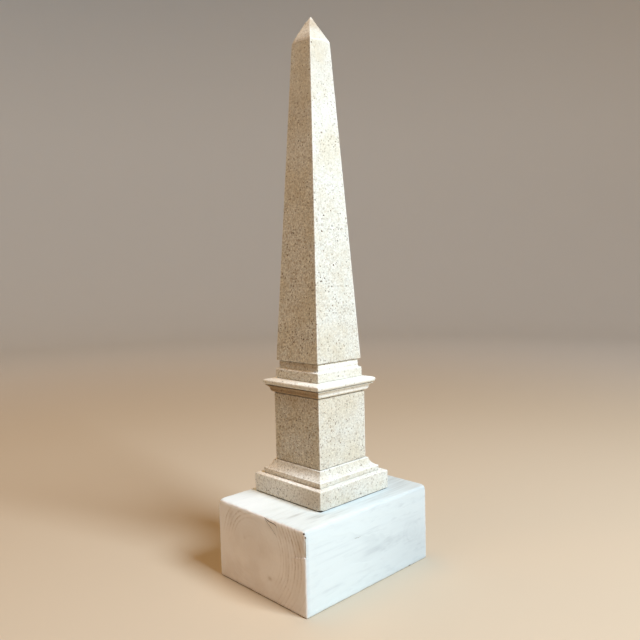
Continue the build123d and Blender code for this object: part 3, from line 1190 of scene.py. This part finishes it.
FRONT_PATCHES = [  # x, z
    (-4, 38, 8, 2.8, 0.42), (9, 38.5, 8, 2.8, 0.48), (18, 35, 8, 1.8, 0.3), (-55, 59, 34, 1.0, 0.25),
    (-6, 59.5, 10, 0.8, 0.3), (5, 62, 10, 0.8, 0.25), (23, 41, 10, 3, 0.16), (40, 38, 12, 4, 0.12),
    (-68, 19, 7, 1.8, 0.25), (-39, 56, 14, 1.0, 0.25), (-70, 66, 20, 0.8, 0.2), (-53, 19, 9, 2.0, 0.3),
    (-48, 50, 26, 1.0, 0.2), (71, 38, 7, 6, 0.12), (54, 17, 8, 1.6, 0.25), (-6, 21, 12, 1.2, 0.2),
    (60, 56, 20, 1.2, 0.2), (-15, 44, 14, 1.2, 0.2),
]
END_PATCHES = [  # y, z
    (-62, 40, 16, 60, 0.22), (-15.8, 23.2, 3.2, 2, 0.75), (31, 83, 4.5, 1.5, 0.6), (25, 55, 2, 2, 0.3),
    (-19, 79, 9, 4, 0.22), (48, 74, 4, 9, 0.3), (-62, 70, 7, 9, 0.35), (-38, 76, 8, 4, 0.2),
    (10, 46, 26, 15, 0.2), (-43, 40, 3, 22, 0.2), (-52, 20, 6, 8, 0.1),
]
NEAR_FACE = 4 * MM  # a patch colours the points within this of its side

KNOT = (69 * MM, 39 * MM)  # x, z
KNOT_RINGS = [(6.5, 1.5, 0.10), (11, 1.8, 0.20), (15.5, 2.2, 0.13)]  # radius, half its width, strength
KNOT_SWELL, KNOT_REACH = 14 * MM, 12 * MM  # how far the growth rings swerve round the knot, and how near to it
PITH = (18 * MM, 42 * MM)  # y, z, in the middle of the block's length
PITH_SLANT = (0.03, -0.06)  # how much it moves along y and z for each step along x
WAVES = ((0.03, 2, 0.6), (0.012, 5, 1.7))  # how far the rings swing, how often in a turn, and where they start
WANDER = ((22.0, 2.2), (80.0, 0.9))  # fineness of the rings' wandering, and how far it goes in millimetres

# Cracks, in millimetres: side, points along it and up, width, depth. The first two are the shakes in the end.
CRACKS = [
    (LEFT, ((-4, 88.5), (-9, 85.4), (-13, 83.9), (-18, 83.1), (-23.6, 82.8), (-28, 81.6), (-30.5, 79.0)), 0.9, 1.2),
    (LEFT, ((-4.5, 88.8), (-9, 85.4), (-14.8, 80.9), (-20.3, 77.2), (-26, 72.9), (-29, 69.5)), 0.75, 1.0),
    (FRONT, ((-28, 59.6), (-24.5, 59.4), (-20, 58.9), (-15, 59.1)), 0.5, 0.45),
]
CRACK_INSET = 0.2 * MM

# The line that the saw left on the end, in millimetres: how far along and up it starts, and how steeply it climbs
# towards -Y. The end is set back above it, and the near arris is roughest over SAW_ROUGH.
SAW_START, SAW_CLIMB = (-45, 53.4), 0.29
SAW_ROUGH = 59.5 * MM
SET_BACK = 1.2 * MM


def from_knot(points):
    return np.hypot(points[:, 0] - KNOT[0], points[:, 2] - KNOT[1])


def ring_radii(points):
    """Distance of each point from the wandering pith, which the growth rings follow."""
    x, y, z = points.T
    across = y - PITH[0] - PITH_SLANT[0] * x
    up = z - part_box("timber_block")[0].z - PITH[1] - PITH_SLANT[1] * x
    angle = np.arctan2(up, across)
    radius = np.hypot(across, up)
    radius *= 1 + sum(swing * np.sin(often * angle + start) for swing, often, start in WAVES)
    wander = [sum(noise.noise(Vector(point) * fine) * far for fine, far in WANDER) for point in points]
    radius += np.array(wander) * MM
    radius += rise(-y, 20, 40) * KNOT_SWELL * np.exp(-((from_knot(points) / KNOT_REACH) ** 2))
    return radius


def late_wood(radius, ring):
    """How hard the wood is at a distance from the pith, from 0 in the soft part of a ring to 1."""
    share = np.mod(radius / ring, 1.0)
    harder = np.clip((share - SOFT_END) / (HARDEST - SOFT_END), 0, 1)
    return harder * harder * (3 - 2 * harder) * np.clip((1.0 - share) / RING_DROP, 0, 1)


def ring_show(points, radius):
    """How plainly the rings show on the end grain: most towards -Y and over the pith, least near it."""
    _, y, z = points.T
    beside = rise(-y, 16, 16) * rise(radius, 46, 8)
    beside *= 0.35 + 0.65 * rise(z, 8, 40)
    over = rise(y, 2, 14) * rise(z, 48, 14)
    over *= rise(radius, 26, 10) * rise(-radius, -54, 6)
    cloud = np.array([0.8 + 1.3 * noise.noise(Vector(point) * 60.0) for point in points])
    return np.clip((0.03 + 0.66 * beside + 0.48 * over) * cloud, 0, 1)


def thin_paint(points, low, high):
    """How much the grain shows through the paint, from the patches on each side."""
    x, y, z = points.T
    total = np.zeros(len(points))
    in_front = y < low.y + NEAR_FACE
    for shown, along, up, patches in (
        (z > high.z - NEAR_FACE, x, y, TOP_PATCHES),
        (in_front, x, z, FRONT_PATCHES),
        (x < low.x + NEAR_FACE, y, z, END_PATCHES),
    ):
        for middle, level, length, width, strength in patches:
            total += shown * strength * spot(along, up, middle, level, length, width)
    # the rings round the knot fade out towards +X
    fainter = in_front * np.clip(1.3 - (x - KNOT[0] + KNOT_REACH) / (20 * MM), 0, 1)
    for ring, width, strength in KNOT_RINGS:
        total += fainter * strength * np.exp(-(((from_knot(points) - ring * MM) / (width * MM)) ** 2))
    return np.clip(total, -1, 1)


def from_arris(points, low, high):
    """How far each point of the block lies from its nearest arris."""
    inset = np.array((high - low) / 2) - np.abs(points - np.array((low + high) / 2))
    return np.sort(inset, axis=1)[:, 1]


def wear_block(piece, settings, low, high):
    """Sink the soft rings, rub the arrises and corners, and set back what the saw left."""
    points = points_of(piece.data)
    x, y, z = points.T
    radius = ring_radii(points)
    end = rise(np.abs(x) - high.x, -1.2, 0.8)
    hard = late_wood(radius, settings.ring) * (0.25 + np.where(end > 0.5, ring_show(points, radius), 0.1))
    press_in(piece, "hard", hard, settings.relief)

    press_in(piece, "arris", fade(from_arris(points, low, high), 3.0), 0.9 * MM, clouds=6.0 * MM)
    above = z - SAW_ROUGH
    over_saw = rise(above, 0, 0.8) * fade(above, 26)
    near = fade(np.hypot(x - low.x, y - low.y), 4.0)
    press_in(piece, "near_arris", near * (0.3 + 0.7 * over_saw), 2.0 * MM, clouds=5.0 * MM)
    saw_line = SAW_START[1] * MM + (SAW_START[0] * MM - y) * SAW_CLIMB
    set_back = rise(z - saw_line, 0, 0.2) * rise(-z, -84, 20) * rise(-y, 46, 10) * (x < low.x + SET_BACK)
    press_in(piece, "set_back", set_back, SET_BACK)
    press_in(piece, "end_arris", fade(np.hypot(x - low.x, z - high.z), 4.0), 1.2 * MM, clouds=9.0 * MM)
    far = np.linalg.norm(points - np.array((high.x, low.y, high.z)), axis=1)
    back = np.linalg.norm(points - np.array((low.x, high.y, high.z)), axis=1)
    press_in(piece, "corners", fade(np.minimum(far, back), 7.5) ** 2, 2.4 * MM)


def split_block(piece, low, high):
    """Cut the shakes, a split along the grain and a few chips."""
    for side, path, width, depth in CRACKS:
        if side == LEFT:
            path = [(low.x + CRACK_INSET, along * MM, level * MM) for along, level in path]
        else:
            path = [(along * MM, low.y + CRACK_INSET, level * MM) for along, level in path]
        carve(piece, model_crack(path, 1 if side == LEFT else 0, width * MM, depth * MM))
    chips = [  # place, then radii in millimetres
        ((low.x + 0.6 * MM, -68.3 * MM, 84.0 * MM), (1.2, 1.3, 1.0)),
        ((low.x + 0.9 * MM, -70.0 * MM, 80.5 * MM), (1.1, 0.9, 1.5)),
        ((high.x - 0.5 * MM, low.y + 0.4 * MM, 62.0 * MM), (1.2, 1.2, 2.2)),
        ((63.0 * MM, low.y + 0.3 * MM, 0.9 * MM), (4.0, 0.8, 0.9)),
    ]
    turn = Euler((0, 0, 0.3)).to_quaternion()
    carve(piece, model_lumps([(Vector(place), Vector(radii) * MM, turn) for place, radii in chips]))


def paint_block(piece, low, high):
    """Write down where the paint is worn or thin, where the arrises carry a painted highlight and the top-front arris
    painted shade, and how the rings run.
    """
    points = points_of(piece.data)
    x, y, z = points.T
    radius = ring_radii(points)
    set_attribute(piece, "ring_radius", radius)
    set_attribute(piece, "ring_show", ring_show(points, radius))
    behind_saw = (x < low.x + 2.4 * MM) & (y > low.y + 1.2 * MM) & (y < -44 * MM)
    behind_saw &= (z > 50 * MM) & (z < high.z - 1.5 * MM)
    set_attribute(piece, "end_grain", np.where(behind_saw, 1, rise(np.abs(x) - high.x, -1.6, 0.8)))
    edge = fade(from_arris(points, low, high), 1.5)
    edge = np.maximum(edge, 0.9 * fade(np.hypot(x - low.x, y - high.y), 4.5))
    thin = thin_paint(points, low, high)
    # painted shade: the top-front arris is darkened, more towards +X, so that it shows no bright band; the other
    # arrises take whiter paint, partly a painted highlight
    dimmed_top_arris = (z > high.z - 2 * MM) & (y < low.y + 2 * MM) & (x > low.x + 3 * MM)
    arris_shade = np.interp(x, (0.0, 60 * MM), (0.42, 0.62))
    set_attribute(piece, "wear", np.where(dimmed_top_arris, 0, np.maximum(edge, -thin)))
    set_attribute(piece, "thin_paint", np.where(dimmed_top_arris, np.maximum(thin, arris_shade * edge), np.maximum(thin, 0)))


class OBELISK_OT_timber_block(bpy.types.Operator):
    """Model the block of painted softwood"""

    bl_idname = "obelisk.timber_block"
    bl_label = "Timber Block"

    def execute(self, context):
        settings = context.scene.obelisk_timber
        low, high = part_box("timber_block")
        deselect_all()
        bpy.ops.mesh.primitive_cube_add(size=1, location=(low + high) / 2, scale=high - low)
        piece = context.object
        piece.name = "painted_block"
        bpy.ops.object.transform_apply(location=True, rotation=True, scale=True)
        round_sharp_edges(piece, settings.arris, 4)
        for axis, pitch in enumerate((1.5 * settings.grid, settings.grid, settings.grid)):
            cut_edges_along(piece, axis, round((high - low)[axis] / pitch))
        wear_block(piece, settings, low, high)
        piece.data.materials.append(materials_for("white_paint"))
        piece.data.materials.append(materials_for("bare_wood"))
        split_block(piece, low, high)
        paint_block(piece, low, high)
        piece.vertex_groups.clear()
        finish_piece(piece, "timber_block")
        return {"FINISHED"}


# ---------------------------------------------------------------- stage


TARGET = (0, 0, 0.28)  # what the lights point at
# Name, place, width and height, the setting with its power, and its colour.
LIGHTS = (
    ("key_light", (0.15, -1.46, 1.63), (0.8, 0.86), "key_power", (0.75, 0.868, 1.0)),
    ("fill_light", (-1.5, 0.35, 1.9), (1.0, 1.0), "fill_power", (1.0, 0.53, 0.23)),
    ("top_light", (-0.1, 0.9, 3.1), (1.4, 1.4), "top_power", (1.0, 0.60, 0.23)),
)
SURROUND = (1.0, 0.68, 0.42)  # colour of the light from all round
CAMERA_PLACE = (-0.5066, -0.5251, 0.3338)
CAMERA_TURN, CAMERA_DIP, CAMERA_ROLL = -43.98, 4.165, -1.409  # degrees
CAMERA_LENS, CAMERA_SENSOR = 37.14, 36.0  # millimetres
WALL_TOP = 3.2
PAPER_FADE = (0.8, 2.6)  # how far out the floor's colour turns into the wall's


def soft_light(name, place, size, power, tint):
    light = bpy.data.lights.new(name, "AREA")
    light.shape = "RECTANGLE"
    light.size, light.size_y = size
    light.energy = power
    light.color = tint
    lamp = bpy.data.objects.new(name, light)
    bpy.context.collection.objects.link(lamp)
    lamp.location = place
    lamp.rotation_euler = (Vector(TARGET) - Vector(place)).to_track_quat("-Z", "Y").to_euler()


class OBELISK_OT_stage(bpy.types.Operator):
    """Set up the floor, the soft lights and the camera"""

    bl_idname = "obelisk.stage"
    bl_label = "Stage"

    floor_radius: bpy.props.FloatProperty(
        name="Floor", description="Radius of the level floor", default=2.6, unit="LENGTH"
    )
    rim_radius: bpy.props.FloatProperty(
        name="Rim", description="Radius of the curve up to the wall", default=1.2, unit="LENGTH"
    )

    def execute(self, context):
        settings = context.scene.obelisk_stage
        low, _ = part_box("timber_block")
        deselect_all()
        bpy.ops.mesh.primitive_circle_add(
            vertices=96, radius=self.floor_radius, fill_type="NGON", location=(0, 0, low.z)
        )
        floor = context.object
        floor.name = "stage_floor"
        bpy.ops.object.transform_apply(location=True, rotation=True, scale=True)
        edit_all(floor)
        bpy.ops.mesh.region_to_loop()
        rim = arc((self.floor_radius, low.z + self.rim_radius), (self.rim_radius, self.rim_radius), -90, 0, 12)
        rim.append((self.floor_radius + self.rim_radius, low.z + WALL_TOP))
        draw_up((0, 0), rim)
        bpy.ops.mesh.select_all(action="SELECT")
        bpy.ops.mesh.normals_make_consistent(inside=True)
        leave_edit()
        bpy.ops.object.shade_smooth()
        material, tree, shader = new_material("stage_paper")
        away = node(tree, "ShaderNodeVectorMath", {0: object_place(tree)}, operation="LENGTH").outputs["Value"]
        paper = blend(tree, ease(tree, away, *PAPER_FADE), colour(settings.floor_colour), colour(settings.wall_colour))
        tree.links.new(paper, shader.inputs["Base Color"])
        shader.inputs["Roughness"].default_value = 0.9
        floor.data.materials.append(material)

        for name, place, size, power, tint in LIGHTS:
            soft_light(name, place, size, getattr(settings, power), tint)
        world = bpy.data.worlds.new("surround")
        world.use_nodes = True
        background = world.node_tree.nodes["Background"]
        background.inputs["Color"].default_value = colour(SURROUND)
        background.inputs["Strength"].default_value = settings.fill_strength
        context.scene.world = world
        context.scene.view_settings.view_transform = "Standard"

        camera_data = bpy.data.cameras.new("camera")
        camera_data.sensor_width = CAMERA_SENSOR
        camera_data.lens = CAMERA_LENS
        camera = bpy.data.objects.new("camera", camera_data)
        context.collection.objects.link(camera)
        turn = Euler((0, 0, math.radians(CAMERA_TURN))).to_matrix()
        tilt = Euler((math.radians(90 - CAMERA_DIP), 0, 0)).to_matrix()
        roll = Euler((0, 0, math.radians(CAMERA_ROLL))).to_matrix()
        camera.matrix_world = Matrix.Translation(CAMERA_PLACE) @ (turn @ tilt @ roll).to_4x4()
        context.scene.camera = camera
        return {"FINISHED"}


# ---------------------------------------------------------------- panel and running


class OBELISK_PT_tools(bpy.types.Panel):
    """Operators and settings of the obelisk"""

    bl_idname = "OBELISK_PT_tools"
    bl_label = "Obelisk"
    bl_space_type = "VIEW_3D"
    bl_region_type = "UI"
    bl_category = "Obelisk"

    def draw(self, context):
        for operator in OPERATORS:
            self.layout.operator(operator.bl_idname)
        for group in (context.scene.obelisk_stone, context.scene.obelisk_timber, context.scene.obelisk_stage):
            box = self.layout.box()
            for name in group.bl_rna.properties.keys():
                if name not in {"rna_type", "name"}:
                    box.prop(group, name)


OPERATORS = (
    OBELISK_OT_timber_block,
    OBELISK_OT_plinth,
    OBELISK_OT_base_moulding,
    OBELISK_OT_die,
    OBELISK_OT_bed_moulding,
    OBELISK_OT_cornice,
    OBELISK_OT_socle,
    OBELISK_OT_shaft,
    OBELISK_OT_putty,
    OBELISK_OT_stage,
)
CLASSES = (StoneSettings, TimberSettings, StageSettings, *OPERATORS, OBELISK_PT_tools)


def register():
    for cls in CLASSES:
        bpy.utils.register_class(cls)
    bpy.types.Scene.obelisk_stone = bpy.props.PointerProperty(type=StoneSettings)
    bpy.types.Scene.obelisk_timber = bpy.props.PointerProperty(type=TimberSettings)
    bpy.types.Scene.obelisk_stage = bpy.props.PointerProperty(type=StageSettings)


def unregister():
    del bpy.types.Scene.obelisk_stage
    del bpy.types.Scene.obelisk_timber
    del bpy.types.Scene.obelisk_stone
    for cls in reversed(CLASSES):
        bpy.utils.unregister_class(cls)


def main():
    register()
    bpy.ops.obelisk.timber_block()
    bpy.ops.obelisk.plinth()
    bpy.ops.obelisk.base_moulding()
    bpy.ops.obelisk.die()
    bpy.ops.obelisk.bed_moulding()
    bpy.ops.obelisk.cornice()
    bpy.ops.obelisk.socle()
    bpy.ops.obelisk.shaft()
    bpy.ops.obelisk.putty()
    bpy.ops.obelisk.stage()


if __name__ == "__main__":
    main()
